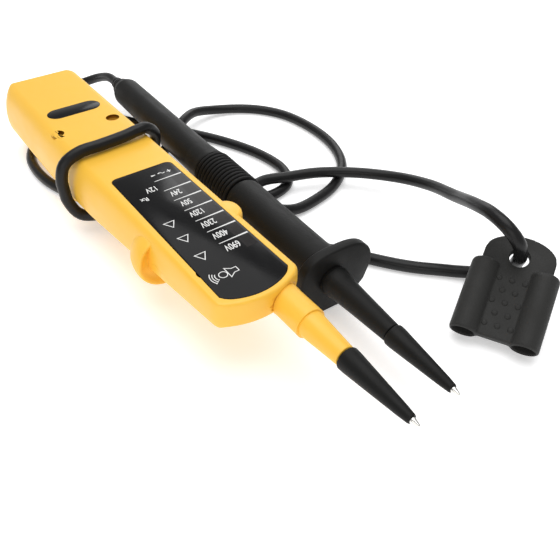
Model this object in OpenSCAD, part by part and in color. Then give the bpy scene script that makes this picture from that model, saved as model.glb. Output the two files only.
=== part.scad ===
// Two-pole voltage tester: a yellow display unit with a fixed probe, a loose black
// second probe, the test lead between them and a rubber tip cover threaded on it.
// +X runs towards the probe tips, +Y towards the loose probe, +Z up from the table.

/* [Overall] */
// Length from the display unit's rear face to the metal tip of its probe
overall_l = 244.4; // [218:0.2:293]
// Height of the display unit's flat top above the table
top_z = 30; // [28:0.5:36]
// Wall thickness of the yellow housing
wall = 2; // [1.5:0.1:2.6]
// Gap between pieces that move past each other
slide_gap = 0.3; // [0.2:0.05:0.5]
// Gap between pieces that are fixed to each other
fixed_gap = 0.1; // [0.05:0.05:0.2]

/* [Display unit housing] */
// Y of the centreline of the front label
body_y = -12.8; // [-16:0.1:-10]
// Distance from the centreline to the widest point on the left
body_left = 21.4; // [19:0.1:25]
// Distance from the centreline to the right wall
body_right = 15.4; // [14.5:0.1:18]
// Distance from the centreline to where the flat top ends on the left
flat_left = 13.5; // [13:0.1:16]
// Distance from the centreline to the left edge at the front end
front_left = 15.2; // [14.5:0.1:18]
// Height of the widest point above the table
widest_z = 15; // [13:0.5:18]
// Height of the underside of the battery end above the table
rear_floor = 5.3; // [5:0.1:7]
// Height of the underside of the display end above the table, at its rear
front_floor = 10.5; // [9.5:0.1:12]
// Height of the underside above the table at the front face
tip_floor = 20.3; // [17:0.1:21]
// Length of the deeper battery end
battery_end_l = 80; // [76:1:96]
// How far the front face bows out
front_bow = 5; // [3:0.5:7]
// Radius of the upper right edge
top_edge_r = 3; // [2.7:0.1:5]
// Radius of the lower right edge
low_edge_r = 5; // [3:0.5:5]
// Radius of the rear corners seen from above
rear_corner_r = 8; // [5:0.5:10]
// Height of the joint between the two shells
split_z = 22; // [21:0.5:23]

/* [Finger guard] */
// Length of the yellow finger guard along the unit
guard_l = 8; // [6:0.5:12]
// Distance from the front face's corner back to the finger guard
guard_back = 38; // [30:1:50]
// Height of the left lobe's top above the table
guard_top = 29; // [26:0.5:29.5]
// How far the right lobe stands out from the right wall
lobe_right = 2.6; // [2:0.2:5]
// How far the left lobe reaches from the centreline
lobe_left = 22.5; // [22:0.1:27]
// Height of the guard's lowest edge above the table
guard_low = 9.5; // [7:0.1:11]

/* [Label and lights] */
// Length of the label along the right edge
label_l = 78; // [60:0.2:90]
// Width of the label
label_w = 24.2; // [20:0.2:27]
// Thickness of the label
label_t = 0.8; // [0.5:0.1:1]
// Number of voltage steps
steps = 7; // [5:1:8]
// Distance between two steps
step_pitch = 7.39; // [6:0.05:8]
// Distance from the label's rear edge to the first step line
first_step = 10.56; // [8:0.1:14]
// Size of one light guide
light_size = 4; // [3:0.1:5]
// Length of the dark badge on the battery end
badge_l = 23; // [16:0.5:26]
// Width of the dark badge on the battery end
badge_w = 9; // [6:0.5:11]
// Distance from the rear face to the middle of the badge
badge_back = 45; // [40:1:55]

/* [Batteries and door] */
// Diameter of one AAA cell
cell_d = 10.5; // [10:0.1:11]
// Length of one AAA cell
cell_l = 44.5; // [42:0.1:46]
// Length of the battery door
door_l = 54; // [50:0.5:60]
// Width of the battery door
door_w = 23; // [20:0.5:23]

/* [Fixed probe] */
// Distance from the label's centreline to the fixed probe's axis
nose_off = 7.1; // [6:0.1:8]
// Height of the fixed probe's axis above the table
nose_z = 23; // [22:0.1:24]
// Length of the yellow shaft outside the front corner
nose_l = 31.5; // [22:0.5:38]
// Diameter of the yellow shaft at its base
nose_base_d = 10; // [9:0.1:11]
// Diameter of both shafts where the tip cap starts
nose_end_d = 6.4; // [5.8:0.1:7]
// Diameter of the plain end of each shaft inside its tip cap
spigot_d = 4.4; // [4:0.1:4.8]
// Length of the plain end of each shaft
spigot_l = 6; // [5:0.5:8]
// Diameter of the metal contact rods
rod_d = 2; // [1.8:0.1:2.4]
// Length of bare metal outside a tip cap
rod_bare = 2.6; // [2:0.1:4]

/* [Tip caps] */
// Length of a tip cap
cap_l = 25.2; // [20:0.2:30]
// Diameter of a tip cap at its open end
cap_d = 7.4; // [7:0.1:8.5]
// Diameter of a tip cap at its small end
cap_tip_d = 3; // [2.9:0.1:4]
// Running gap between a contact rod and its tip cap
cap_fit = 0.06; // [0.04:0.01:0.1]

/* [Loose probe] */
// X of the front face of the loose probe's guard
probe_x = 61; // [50:1:70]
// Y of the loose probe's axis at that face
probe_y = 18.5; // [18:0.1:21]
// Height of the loose probe's axis above the table
probe_z = 13.8; // [13.6:0.1:15]
// Angle between the loose probe and the display unit
probe_yaw = 2.3; // [1.5:0.1:4]
// Length of the handle behind the guard
handle_l = 175.5; // [150:0.5:190]
// Diameter of the handle at its rear end
handle_rear_d = 14; // [13:0.1:15]
// Diameter of the handle at the guard
handle_front_d = 16.4; // [15:0.1:17]
// Bore of the handle
handle_bore = 9; // [8:0.1:10.2]
// Distance from the guard back to the front of the ribbed grip
grip_back = 58; // [50:1:80]
// Number of ribs on the grip
rib_count = 11; // [6:1:12]
// Distance between two ribs
rib_pitch = 2.2; // [2:0.05:2.6]
// Diameter over the ribs
rib_d = 17.6; // [17:0.1:17.6]
// Thickness of the loose probe's guard
guard_t = 4; // [3:0.2:5]
// How far the guard reaches to the right of the axis
guard_right = 16.8; // [15:0.1:18]
// How far the guard reaches to the left of the axis
guard_left = 12.4; // [11:0.1:12.6]
// How far the guard reaches above the axis
guard_up = 11.4; // [10:0.1:13]
// Length of the loose probe's bare shaft
shaft_l = 29.9; // [24:0.1:34]

/* [Lead ends] */
// Diameter of the test lead
lead_d = 4.6; // [4.4:0.1:4.7]
// Length of the rubber gland outside the display unit
gland_l = 8; // [6:0.5:8]
// Largest diameter of the rubber gland
gland_d = 9; // [8:0.1:10]
// Height of the rubber gland's axis above the table
gland_z = 17; // [16:0.1:18.5]
// Length of the stepped collar behind the handle
collar_l = 5.5; // [4:0.5:6]
// Length of the strain relief behind the collar
relief_l = 7; // [6:0.5:7]

/* [Tip cover] */
// Distance between the two sockets of the tip cover
socket_pitch = 19.2; // [17:0.1:22]
// Outside diameter of a socket
socket_d = 9.2; // [8.8:0.1:10]
// Bore of a socket
socket_bore = 7.2; // [6.8:0.1:7.8]
// Length of a socket
socket_l = 26.5; // [24:0.5:32]
// Depth of a socket's bore
socket_depth = 24; // [20:0.5:30]
// Length of the whole cover
cover_l = 38; // [36:0.5:44]
// Width of the cover's tab
tab_w = 23; // [20:0.5:26]
// Thickness of the web and tab
web_t = 3; // [2.4:0.1:4]
// Bore in the tab for the lead
tab_bore = 6.4; // [6.2:0.1:8.4]
// Distance between two bumps
bump_pitch = 4.15; // [3.8:0.05:4.5]

/* [Hidden] */

fine = 64;
eps = 0.02;

yellow = "#f7b62c";
black = "#232323";
rubber = "#3c3c3a";
metal = "#c9c9cc";
board_green = "#2f6b3c";

middle_x = 1;
rear_x = middle_x - overall_l / 2;
tip_x = rear_x + overall_l;
cap_x = tip_x - rod_bare - cap_l;
front_x = cap_x - nose_l;
body_step_x = rear_x + battery_end_l;
right_y = body_y + body_right;
left_y = body_y - body_left;
shoulder_y = body_y - flat_left;
nose_y = body_y + nose_off;
label_x = front_x - label_l + 0.5;
label_bow = 3.9;
gland_y = -10;
guard_x0 = front_x - guard_back - guard_l;
inner_top = top_z - wall;
screw_d = 2;
screw_head_d = 4.2;
boss_d = 5.6;
screw_in = 5;
screw_seat = 1.6;
boss_rear_x = body_step_x - 18;
boss_front_x = front_x - 14;
bosses = [[boss_rear_x, left_y + 7], [boss_rear_x, right_y - 5.8],
    [boss_front_x, shoulder_y + 4], [boss_front_x, nose_y - 5.4]];
cell_gap = 1.2;
cell_z = rear_floor + wall + cell_d / 2 + 0.9;
cell_x0 = rear_x + wall + 4.4;
cell_mid_y = (shoulder_y + right_y - low_edge_r) / 2;
door_x0 = rear_x + 0.4;
door_lip = 1.2;
door_skin = 1.1;
board_t = 1.6;
board_z = top_z - 9.6;
board_x0 = boss_rear_x + boss_d / 2 + 2;
board_x1 = boss_front_x - boss_d / 2 - 1.5;
bore_d = rod_d + 2 * cap_fit;
axis_z = probe_z;
grip_l = rib_count * rib_pitch;
grip_core_d = 14;
cover_at = [106, 48.1, socket_d / 2 * cos(27.5)];
cover_turn = 117.3;
cover_tilt = 27.5;
hole_at = 30;

// The lead's route, from the loose probe's strain relief to the display unit's gland.
lead_route = [
    [-127, 26, 13.8], [-137, 26, 13.2], [-148, 24, 9.8], [-157, 18, 5.5], [-161.5, 7, 2.7],
    [-157, -6, 2.3], [-144, -12.5, 2.3], [-126, -17.5, 2.3], [-112, -26, 2.3], [-96, -33, 2.3],
    [-76, -33.5, 2.3], [-57, -28, 2.3], [-31, -14.5, 2.3], [-6, 3, 2.3], [17, 22.5, 2.3],
    [41, 39.5, 2.3], [62, 54, 2.3], [75, 66.5, 2.4], [84.5, 74, 4.8], [90.5, 74.5, 11],
    [92.8, 72.6, 16], [94.8, 69.8, 21.5], [94.4, 67.2, 27.2], [90, 65.8, 31.4], [82, 67.3, 32],
    [72, 71.8, 28.3], [58, 79.5, 21], [40, 86, 14], [24, 85.5, 9.5], [8, 76.5, 7.2],
    [-2.5, 63, 7], [-7.5, 50, 7.1], [-10.8, 40, 7.3], [-8.6, 32.6, 7.3], [-1, 29.8, 7.2],
    [6.2, 33.4, 5.2], [9, 42, 2.8], [8, 54, 2.3], [4, 67, 2.3], [-6, 80, 2.3],
    [-22, 88.5, 2.3], [-43, 91.5, 2.3], [-65, 88, 2.3], [-80.5, 77, 2.3], [-87.5, 62, 3.4],
    [-85.5, 48.5, 6.6], [-81.2, 41.2, 7.4], [-77.8, 36.4, 7], [-73.8, 30.4, 4.2], [-66, 20, 2.3], [-54.5, 9.5, 3.4],
    [-47.5, 6.6, 11], [-42, 6.2, 21], [-39.3, 6, 28.6], [-37.5, 1.2, 33.1], [-36.3, -7, 32.8],
    [-35.4, -18, 32.7], [-35, -27.2, 32.6], [-34.9, -33.6, 29.6], [-35.1, -36.2, 22.5],
    [-34.6, -35.9, 14], [-32.6, -32.9, 8], [-27.5, -23.5, 7.5], [-22.5, -14, 7.6],
    [-16, 5, 6.2], [-12.8, 13.5, 2.8], [-10.2, 22, 2.3], [-5.8, 42, 2.3], [-9.5, 51.8, 2.3],
    [-20, 56.8, 2.3], [-36, 56.2, 2.3], [-57, 49.2, 2.3], [-80, 36.6, 2.3], [-100, 23.5, 2.3],
    [-119, 14.5, 2.3], [-135, 13, 4], [-145.5, 6.5, 9], [-145, -4, 14], [-137, -9.8, 16.7],
    [-128, -10, 17]];

function arc(cx, cy, rx, ry, a0, a1, n = 8) =
    [for (i = [0:n]) let (a = a0 + (a1 - a0) * i / n) [cx + rx * cos(a), cy + ry * sin(a)]];

// Height of the housing's underside and of its widest point, along X
function rise_at(x) = x < body_step_x ? 0 :
    (tip_floor - front_floor) * pow((x - body_step_x) / (front_x - body_step_x), 1.6);
function floor_at(x) = x < body_step_x ? rear_floor : front_floor + rise_at(x);
function widest_at(x) = widest_z + 0.9 * rise_at(x);

// Cross-section of the housing in (Y, Z), set in by g from the outside
function section(g, floor_z, mid_z) = concat(
    arc(shoulder_y, mid_z, flat_left - body_left + g, top_z - mid_z - g, 90, 0, 10),
    arc(shoulder_y, mid_z, flat_left - body_left + g, mid_z - floor_z - g, -11, -90, 7),
    arc(right_y - low_edge_r, floor_z + low_edge_r, low_edge_r - g, low_edge_r - g, -90, 0, 6),
    arc(right_y - top_edge_r, top_z - top_edge_r, top_edge_r - g, top_edge_r - g, 0, 90, 6));

// Bowed front end in (X, Y), from the right corner to the left corner
function bowed_front(x, y_left, y_right, bow, corner, n = 16) =
    [for (i = [0:n]) let (t = 1 - 2 * i / n)
        [x + bow * (1 - t * t) - corner * pow(abs(t), 10),
            (y_left + y_right) / 2 + t * (y_right - y_left) / 2]];

// Outline of the housing in (X, Y), set in by g from the outside
function plan(g) = concat(
    bowed_front(front_x - g + 2, body_y - front_left + g, right_y - g, front_bow - 2, 3),
    [[guard_x0, body_y - front_left - 2 + g], [body_step_x + 20, left_y + 1.4 + g]],
    arc(rear_x + rear_corner_r, left_y + rear_corner_r, rear_corner_r - g, rear_corner_r - g, 270, 180),
    arc(rear_x + rear_corner_r, right_y - rear_corner_r, rear_corner_r - g, rear_corner_r - g, 180, 90));

module along_x(x0, x1) translate([x0, 0, 0]) rotate([90, 0, 90]) linear_extrude(x1 - x0) children();
module turned(profile) rotate([0, 90, 0]) rotate_extrude($fn = fine) polygon(profile);

// A solid of revolution about X, given as [x, radius] points along its outside
module spun(points, bore = 0) {
    last = len(points) - 1;
    turned(concat(
        [[bore, points[0][0]]], [for (p = points) [p[1], p[0]]], [[bore, points[last][0]]]));
}

function front_stations(g) = [body_step_x - g - eps, -20, 0, 20, 35, 48, 58, front_x + front_bow];

// A closed skin over rings of points that all run the same way round
module skin(rings) {
    n = len(rings);
    sides = len(rings[0]);
    polyhedron(
        points = [for (r = rings) each r],
        faces = concat(
            [[for (k = [0:sides - 1]) k]],
            [for (i = [0:n - 2]) for (k = [0:sides - 1])
                let (a = i * sides + k, b = i * sides + (k + 1) % sides) [a, a + sides, b + sides, b]],
            [[for (k = [sides - 1:-1:0]) (n - 1) * sides + k]]));
}

module housing(g) {
    intersection() {
        union() {
            along_x(rear_x + g, body_step_x - g) polygon(section(g, rear_floor, widest_z));
            skin([for (x = front_stations(g))
                [for (q = section(g, front_floor + rise_at(x), widest_at(x))) [x, q[0], q[1]]]]);
        }
        linear_extrude(top_z + 1) polygon(plan(g));
    }
}

module above_split() {
    translate([rear_x - 1, left_y - 5, split_z]) cube([overall_l, 60, top_z]);
}

module label_outline(g) {
    polygon(concat(
        bowed_front(front_x - 0.9 + g, body_y - label_w / 2 - g, body_y + label_w / 2 + g, label_bow, 1.2),
        arc(label_x + 2.5, body_y - label_w / 2 + 2.5, 2.5 + g, 2.5 + g, 270, 180, 5),
        arc(label_x + 2.5, body_y + label_w / 2 - 2.5, 2.5 + g, 2.5 + g, 180, 90, 5)));
}

module badge_outline(g) {
    hull() for (s = [-1, 1])
        translate([rear_x + badge_back, body_y - 0.8 + s * (badge_l - badge_w) / 2])
            circle(d = badge_w + 2 * g, $fn = 32);
}

module at_steps() {
    for (i = [0:steps - 1])
        translate([label_x + first_step + (i + 0.5) * step_pitch, body_y + label_w / 2 - 4, 0]) children();
}

module nose_hole(d) {
    translate([front_x - 6 - fixed_gap, nose_y, nose_z]) rotate([0, 90, 0])
        cylinder(d = d, h = 30, $fn = fine);
}

module top_shell() color(yellow) {
    difference() {
        intersection() { housing(0); above_split(); }
        difference() {
            housing(wall);
            for (b = bosses) translate([b[0], b[1], split_z]) cylinder(d = boss_d, h = top_z, $fn = fine);
        }
        for (b = bosses) translate([b[0], b[1], split_z - eps])
            cylinder(d = screw_d, h = screw_in, $fn = fine);
        translate([0, 0, top_z - label_t]) linear_extrude(5) label_outline(0.1);
        translate([0, 0, top_z - 0.5]) linear_extrude(5) badge_outline(0.1);
        at_steps() translate([-light_size / 2 - fixed_gap, -light_size / 2 - fixed_gap, inner_top - 2])
            cube([light_size + 2 * fixed_gap, light_size + 2 * fixed_gap, 9]);
        nose_hole(nose_base_d + 2 * fixed_gap);
        gland_hole();
    }
}

module gland_hole() {
    translate([rear_x - 1, gland_y, gland_z]) rotate([0, 90, 0])
        cylinder(d = 6 + 2 * fixed_gap, h = wall + 2, $fn = fine);
}

module door_opening() {
    w = door_w + 2 * slide_gap;
    y0 = cell_mid_y - w / 2;
    translate([rear_x - 1, y0, rear_floor - 1]) cube([door_l + 1.7, w, wall + 2]);
    translate([rear_x - 1, y0 - door_lip, rear_floor + door_skin])
        cube([door_l + 1.7, w + 2 * door_lip, wall]);
}

module bottom_shell() color(yellow) {
    difference() {
        intersection() {
            housing(0);
            translate([rear_x - 1, left_y - 5, 0]) cube([overall_l, 60, split_z]);
        }
        difference() {
            housing(wall);
            for (b = bosses) translate([b[0], b[1], 0]) cylinder(d = boss_d, h = split_z, $fn = fine);
        }
        for (b = bosses) {
            translate([b[0], b[1], 0]) cylinder(d = screw_d + 0.3, h = split_z + 1, $fn = fine);
            translate([b[0], b[1], 0])
                cylinder(d = screw_head_d + 0.3, h = floor_at(b[0]) + screw_seat, $fn = fine);
        }
        door_opening();
        nose_hole(nose_base_d + 2 * fixed_gap);
        gland_hole();
    }
}

module case_screws() color(metal) {
    for (b = bosses) translate([b[0], b[1], floor_at(b[0]) + screw_seat]) difference() {
        union() {
            translate([0, 0, -1.4]) cylinder(d = screw_head_d, h = 1.4, $fn = fine);
            translate([0, 0, -0.1])
                cylinder(d = screw_d, h = split_z + screw_in - floor_at(b[0]) - screw_seat - 0.4, $fn = fine);
        }
        for (a = [0, 90]) rotate([0, 0, a]) translate([-1.2, -0.3, -1.5]) cube([2.4, 0.6, 0.8]);
    }
}

module finger_guard() color(yellow) {
    low = guard_low;
    outer_l = body_y - lobe_left;
    outer_r = right_y + lobe_right;
    difference() {
        along_x(guard_x0, guard_x0 + guard_l) polygon(concat(
            arc(outer_l + 9, (guard_top + low) / 2 + 1, 9, (guard_top - low) / 2 - 1, 90, 270, 14),
            arc(outer_r - 9, low + 9, 9, 9, 270, 360, 8),
            arc(outer_r - 4, top_z - 4.2, 4, 4.2, 0, 90, 6)));
        housing(-fixed_gap);
        translate([guard_x0 - 1, outer_l - 1, guard_top]) cube([guard_l + 2, right_y - outer_l, 20]);
    }
}

module front_label() color(black) {
    translate([0, 0, top_z - label_t]) linear_extrude(label_t) label_outline(0);
}

module badge_plate() color(black) {
    translate([0, 0, top_z - 0.5]) linear_extrude(0.5) badge_outline(0);
}

module light_guides() color("#5a2020") {
    z0 = board_z + board_t + 1.3;
    at_steps() translate([-light_size / 2, -light_size / 2, z0])
        cube([light_size, light_size, top_z - label_t - z0]);
}

module leds() color("#e8e2d0") {
    at_steps() translate([-1.5, -1, board_z + board_t]) cube([3, 2, 1.1]);
}

module circuit_board() color(board_green) {
    translate([board_x0, shoulder_y + 3, board_z])
        cube([board_x1 - board_x0, right_y - wall - 1.2 - shoulder_y - 3, board_t]);
}

module board_chips() color(black) {
    for (c = [[-38, -16, 9, 9], [-14, -12, 12, 7], [6, -18, 6, 5]])
        translate([c[0], c[1], board_z - 1.4]) cube([c[2], c[3], 1.4]);
}

module sounder() color(black) {
    translate([board_x1 - 9, body_y - 5, board_z + board_t]) difference() {
        cylinder(d = 12, h = 4.6, $fn = fine);
        translate([0, 0, 2]) cylinder(d = 2, h = 4, $fn = fine);
    }
}

module input_resistors() color("#7a5a3a") {
    for (s = [0, 1]) translate([board_x0 + 27, body_y - 8 + s * 7.5, board_z - 3.2])
        rotate([0, 90, 0]) cylinder(d = 5, h = 12, $fn = fine);
}

module battery_cells() color("#b0843c") {
    for (s = [-1, 1]) translate([cell_x0, cell_mid_y + s * (cell_d + cell_gap) / 2, cell_z])
        rotate([0, 90, 0]) {
            cylinder(d = cell_d, h = cell_l - 1, $fn = fine);
            translate([0, 0, cell_l - 1 - eps]) cylinder(d = 3.8, h = 1 + eps, $fn = fine);
        }
}

module battery_contacts() color(metal) {
    for (s = [-1, 1]) translate([0, cell_mid_y + s * (cell_d + cell_gap) / 2, cell_z]) {
        translate([cell_x0 + cell_l + 0.1, -4, -4]) cube([0.6, 8, 8]);
        translate([rear_x + wall + 0.1, -4, -4]) cube([0.5, 8, 8]);
        spun([[rear_x + wall + 0.5, 3.6], [cell_x0 - 0.1, 2.2]], bore = 1.4);
    }
}

module battery_door() color(yellow) {
    y0 = cell_mid_y - door_w / 2;
    translate([door_x0, y0, rear_floor]) difference() {
        union() {
            cube([door_l, door_w, wall + 0.2]);
            translate([0, -door_lip + slide_gap, door_skin + slide_gap])
                cube([door_l, door_w + 2 * (door_lip - slide_gap), wall + 0.2 - door_skin - slide_gap]);
        }
        for (i = [0:4]) translate([6 + 2.4 * i, 5, -1]) cube([1.2, door_w - 10, 1.6]);
    }
}

module lead_gland() color(black) {
    translate([0, gland_y, gland_z]) {
        spun([[rear_x - 1.2, gland_d / 2], [rear_x - 0.1, gland_d / 2]]);
        spun([[rear_x - gland_l, lead_d / 2 + 0.5], [rear_x - 1.2, gland_d / 2 - 1]]);
        spun([[rear_x - 0.1 - eps, 3], [rear_x + wall - 0.1, 3]]);
    }
}

module nose_tube() color(yellow) {
    translate([0, nose_y, nose_z]) spun([
        [front_x - 6, nose_base_d / 2], [front_x + 6.5, nose_base_d / 2],
        [cap_x, nose_end_d / 2], [cap_x, spigot_d / 2], [cap_x + spigot_l, spigot_d / 2]],
        bore = rod_d / 2);
}

module contact_rod() color(metal) {
    translate([0, nose_y, nose_z]) rod(front_x - 12, tip_x);
}

module rod(x0, x1) {
    r = rod_d / 2;
    spun(concat([[x0, r]], [for (a = [0:15:90]) [x1 - r + r * sin(a), max(r * cos(a), 0.01)]]));
}

module tip_sleeve(x0) {
    reach = spigot_l + 0.5;
    translate([x0, 0, 0]) difference() {
        spun([[slide_gap, cap_d / 2 - 0.2], [slide_gap + 0.4, cap_d / 2], [2.2, cap_d / 2],
            [cap_l - 0.5, cap_tip_d / 2], [cap_l, cap_tip_d / 2 - 0.25]]);
        translate([-1, 0, 0]) rotate([0, 90, 0])
            cylinder(d = spigot_d + 2 * fixed_gap, h = reach + 1, $fn = fine);
        rotate([0, 90, 0]) cylinder(d = bore_d, h = cap_l + 1, $fn = fine);
    }
}

module tip_cap() color(black) {
    translate([0, nose_y, nose_z]) tip_sleeve(cap_x);
}

// Places a piece of the loose probe, drawn along X from its guard's front face
module on_probe() translate([probe_x, probe_y, axis_z]) rotate([0, 0, -probe_yaw]) children();

module probe_handle() color(black) on_probe() {
    back = -grip_back - grip_l;
    spun([[-handle_l, handle_rear_d / 2], [back - 8, handle_rear_d / 2 + 0.4],
        [back - 2, handle_rear_d / 2 + 1.2], [back - 0.1, handle_rear_d / 2 + 1.2],
        [back - 0.1, grip_core_d / 2], [-grip_back + 0.1, grip_core_d / 2],
        [-grip_back + 0.1, handle_front_d / 2 - 0.2], [-guard_t, handle_front_d / 2]],
        bore = handle_bore / 2);
}

module probe_grip() color(black) on_probe() {
    back = -grip_back - grip_l;
    spun([for (i = [0:rib_count - 1]) for (k = [[0, 1.6], [0.25, 0.4], [0.5, 0], [0.75, 0.4]])
        [back + (i + k[0]) * rib_pitch, (rib_d - k[1]) / 2]],
        bore = grip_core_d / 2 + fixed_gap / 2);
}

module probe_guard() color(black) on_probe() along_x(-guard_t + eps, 0) difference() {
    mid = (guard_right - guard_left) / 2;
    half = (guard_right + guard_left) / 2;
    polygon(concat(
        [for (a = [0:7.5:180]) [mid + half * sign(cos(a)) * pow(abs(cos(a)), 0.75),
            guard_up * pow(sin(a), 0.75)]],
        [[-guard_left, -1], [-5.5, -axis_z], [7, -axis_z], [guard_right - 2.5, -6.5]]));
    circle(d = nose_base_d + 2 * fixed_gap, $fn = fine);
}

module probe_shaft() color(black) on_probe() {
    spun([[-16, handle_bore / 2 - fixed_gap], [-guard_t + 0.1, handle_bore / 2 - fixed_gap],
        [-guard_t + 0.1, nose_base_d / 2], [3, nose_base_d / 2], [shaft_l, nose_end_d / 2],
        [shaft_l, spigot_d / 2], [shaft_l + spigot_l, spigot_d / 2]],
        bore = rod_d / 2);
}

module probe_rod() color(metal) on_probe() rod(-22, shaft_l + cap_l + rod_bare);

module probe_tip_cap() color(black) on_probe() tip_sleeve(shaft_l);

module probe_resistor() color("#7a5a3a") on_probe() spun([[-58, 2.5], [-40, 2.5]]);

module probe_wires() color(metal) on_probe() {
    spun([[-40, 0.6], [-22, 0.6]]);
    spun([[-handle_l + 4, 0.6], [-58, 0.6]]);
}

module probe_collar() color(black) on_probe() {
    spun([[-handle_l - collar_l, 4.4], [-handle_l - collar_l + 1.4, 5],
        [-handle_l - 1.6, 5.6], [-handle_l - 0.1, 6.3]]);
    spun([[-handle_l - 0.1 - eps, handle_bore / 2 - fixed_gap], [-handle_l + 4, handle_bore / 2 - fixed_gap]]);
}

module strain_relief() color(black) on_probe() {
    end = -handle_l - collar_l;
    spun([[end - relief_l, lead_d / 2 + 0.6], [end - relief_l + 1.5, lead_d / 2 + 1.3], [end, 4]]);
}

function unit(v) = v / norm(v);
function heading(p, i) = unit(p[min(i + 1, len(p) - 1)] - p[max(i - 1, 0)]);
// Carries one sideways direction along the route, so that the tube doesn't twist
function sideways(p, i, s) =
    let (t = heading(p, i), n = unit(s - (s * t) * t))
    i == len(p) - 1 ? [n] : concat([n], sideways(p, i + 1, n));
function ring(p, i, s, sides, r) =
    let (t = heading(p, i), b = cross(t, s))
    [for (k = [0:sides - 1]) p[i] + r * (cos(360 * k / sides) * s + sin(360 * k / sides) * b)];

module tube(p, d, sides = 10) {
    s = sideways(p, 0, [0, 0, 1]);
    skin([for (i = [0:len(p) - 1]) ring(p, i, s[i], sides, d / 2)]);
}

module test_lead() color(black) tube(lead_route, lead_d);

module tip_cover() color(rubber)
    translate(cover_at) rotate([0, 0, cover_turn]) rotate([0, -cover_tilt, 0]) {
        row = bump_pitch;
        difference() {
            union() {
                for (s = [-1, 1]) translate([0, s * socket_pitch / 2, 0])
                    rotate([0, 90, 0]) cylinder(d = socket_d, h = socket_l, $fn = fine);
                translate([0.4, -socket_pitch / 2, -web_t / 2])
                    cube([socket_l + 2, socket_pitch, web_t]);
                translate([0, 0, -web_t / 2]) linear_extrude(web_t) polygon(concat(
                    [[socket_l - 4, -tab_w / 2], [cover_l - 7, -tab_w / 2]],
                    arc(cover_l - 7, 0, 7, tab_w / 2, -70, 70, 12),
                    [[cover_l - 7, tab_w / 2], [socket_l - 4, tab_w / 2]]));
                for (i = [0:4]) for (j = i % 2 == 0 ? [-1, 0, 1] : [-0.5, 0.5])
                    translate([4.8 + i * row, j * bump_pitch, web_t / 2 - eps])
                        cylinder(d = 2, h = 0.6, $fn = 24);
            }
            for (s = [-1, 1]) translate([-1, s * socket_pitch / 2, 0])
                rotate([0, 90, 0]) cylinder(d = socket_bore, h = socket_depth + 1, $fn = fine);
            translate([hole_at, 0, -web_t]) cylinder(d = tab_bore, h = 2 * web_t, $fn = fine);
        }
    }

top_shell();
bottom_shell();
finger_guard();
front_label();
badge_plate();
light_guides();
leds();
circuit_board();
board_chips();
sounder();
input_resistors();
battery_cells();
battery_contacts();
battery_door();
case_screws();
lead_gland();
nose_tube();
contact_rod();
tip_cap();
probe_handle();
probe_grip();
probe_guard();
probe_shaft();
probe_rod();
probe_resistor();
probe_wires();
probe_collar();
strain_relief();
probe_tip_cap();
test_lead();
tip_cover();
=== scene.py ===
import math

import bpy
import bmesh
from mathutils import Matrix, Vector


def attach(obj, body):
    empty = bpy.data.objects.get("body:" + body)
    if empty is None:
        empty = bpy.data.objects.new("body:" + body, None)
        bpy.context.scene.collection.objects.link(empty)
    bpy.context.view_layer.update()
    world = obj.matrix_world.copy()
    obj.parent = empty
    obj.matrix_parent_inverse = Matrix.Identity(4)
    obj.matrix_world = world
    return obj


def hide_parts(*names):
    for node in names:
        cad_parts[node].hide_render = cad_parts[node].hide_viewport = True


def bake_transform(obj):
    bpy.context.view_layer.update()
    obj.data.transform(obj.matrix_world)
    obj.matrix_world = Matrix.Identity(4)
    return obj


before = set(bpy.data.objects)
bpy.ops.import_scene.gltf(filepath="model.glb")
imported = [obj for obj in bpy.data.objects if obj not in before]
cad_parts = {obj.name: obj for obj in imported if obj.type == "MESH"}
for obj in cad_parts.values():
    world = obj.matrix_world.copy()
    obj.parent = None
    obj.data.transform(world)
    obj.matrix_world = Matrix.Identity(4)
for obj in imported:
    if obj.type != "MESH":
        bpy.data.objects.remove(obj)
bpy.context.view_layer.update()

MM = 0.001

# The display unit, in millimetres
REAR_X, FRONT_X, TIP_X = -121.2, 63.9, 123.2
STEP_X, STEP_RISE, FRONT_RISE = -41.2, 5.2, 9.8
FRONT_BOW, BOW_MIDDLE_Y, BOW_HALF = 5.0, -12.7, 15.3
RIGHT_Y, SHOULDER_Y, LABEL_Y = 2.6, -26.3, -12.6
TOP_Z, SPLIT_Z, WALL = 30.0, 22.0, 2.0
NOSE_Y, NOSE_Z = -5.7, 23.0
CAP_L, ROD_BARE, PIN_BORE = 25.2, 2.6, 1.0
CAP_X, CAP_BORE = TIP_X - ROD_BARE - CAP_L, 1.06
GLAND_Y, GLAND_Z = -10.0, 17.0
SCREWS = [(-59.2, -27.2), (-59.2, -3.2), (49.9, -22.3), (49.9, -11.1)]
DOOR_X, DOOR_Y = -66.3, -14.35
BADGE_X, BADGE_Y = -76.0, -13.6

# The printed scale on the label: its first line, the step between lines and their number
FIRST_LINE, STEP_PITCH, STEPS = -3.44, 7.39, 7
PRINT_Z = TOP_Z + 0.12
INK = (PRINT_Z - 0.01, PRINT_Z + 0.03)

# The loose probe
PROBE_AT, PROBE_YAW = Vector((61.0, 18.5, 13.8)), 2.3
HANDLE_L, GRIP_BACK, RIBS, RIB_PITCH, SHAFT_L = 175.5, 58.0, 11, 2.2, 29.9
GRIP_END = -GRIP_BACK - RIBS * RIB_PITCH
GUARD_HIGH, GUARD_LOW = 16.8, 12.4

# The tip cover
COVER_TURN, COVER_TILT = 117.3, 27.5
SOCKET_R, SOCKET_Y, STUD_PITCH = 4.6, 9.6, 4.15
COVER_AT = Vector((106.0, 48.1, SOCKET_R * math.cos(math.radians(COVER_TILT))))

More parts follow.
